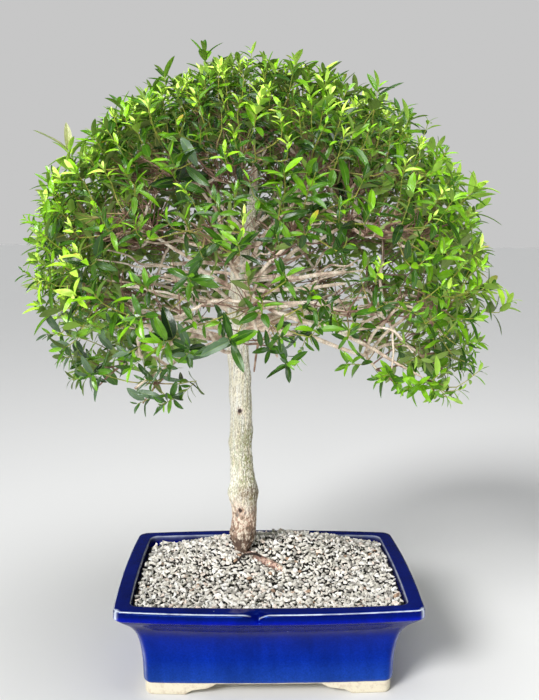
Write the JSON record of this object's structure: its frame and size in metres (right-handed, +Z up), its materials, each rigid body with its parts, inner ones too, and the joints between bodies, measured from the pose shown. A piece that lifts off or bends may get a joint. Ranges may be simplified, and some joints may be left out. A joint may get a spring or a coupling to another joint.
{
  "type": "brush cherry bonsai",
  "caption": "Brush cherry bonsai with an umbrella crown on a bare upright trunk, standing in grit in a bowed rectangular glazed pot on stepped corner feet.",
  "frame": {"origin": "middle of the pot's footprint, on the surface that its feet stand on", "axes": "+Z up along the trunk, +X along the pot's long side to the viewer's right, -Y towards the front of the pot"},
  "size_m": [0.5214, 0.5245, 0.6848],
  "materials": {
    "cobalt_glaze": "gloss cobalt glaze over bare cream clay feet",
    "screen_plastic": "matte",
    "crushed_grit": "rough crushed stone",
    "bark": "pale fissured bark",
    "leaf_green": "glossy dark leaf",
    "leaf_lime": "glossy young leaf"
  },
  "bodies": {
    "root": {"pot": "cobalt_glaze", "drain_screen_left": "screen_plastic", "drain_screen_right": "screen_plastic", "grit_bed": "crushed_grit", "tree_wood": "bark", "spray_01": "leaf_green", "spray_02": "leaf_lime", "spray_03": "leaf_green", "spray_04": "leaf_lime", "spray_05": "leaf_green", "spray_06": "leaf_lime", "spray_07": "leaf_green", "spray_08": "leaf_lime", "spray_09": "leaf_green", "spray_10": "leaf_lime", "spray_11": "leaf_green", "spray_12": "leaf_lime", "spray_13": "leaf_green", "spray_14": "leaf_lime", "spray_15": "leaf_green", "spray_16": "leaf_lime", "spray_17": "leaf_green", "spray_18": "leaf_lime", "spray_19": "leaf_green", "spray_20": "leaf_lime", "spray_21": "leaf_green", "spray_22": "leaf_lime", "spray_23": "leaf_green", "spray_24": "leaf_lime", "spray_25": "leaf_green", "spray_26": "leaf_lime", "spray_27": "leaf_green", "spray_28": "leaf_lime", "spray_29": "leaf_green", "spray_30": "leaf_lime", "spray_31": "leaf_green", "spray_32": "leaf_lime", "spray_33": "leaf_green", "spray_34": "leaf_lime", "spray_35": "leaf_green", "spray_36": "leaf_lime", "spray_37": "leaf_green", "spray_38": "leaf_lime", "spray_39": "leaf_green", "spray_40": "leaf_lime", "spray_41": "leaf_green", "spray_42": "leaf_lime", "spray_43": "leaf_green", "spray_44": "leaf_lime", "spray_45": "leaf_green", "spray_46": "leaf_lime", "spray_47": "leaf_green", "spray_48": "leaf_lime", "spray_49": "leaf_green", "spray_50": "leaf_lime", "spray_51": "leaf_green", "spray_52": "leaf_lime"}
  },
  "joints": []
}
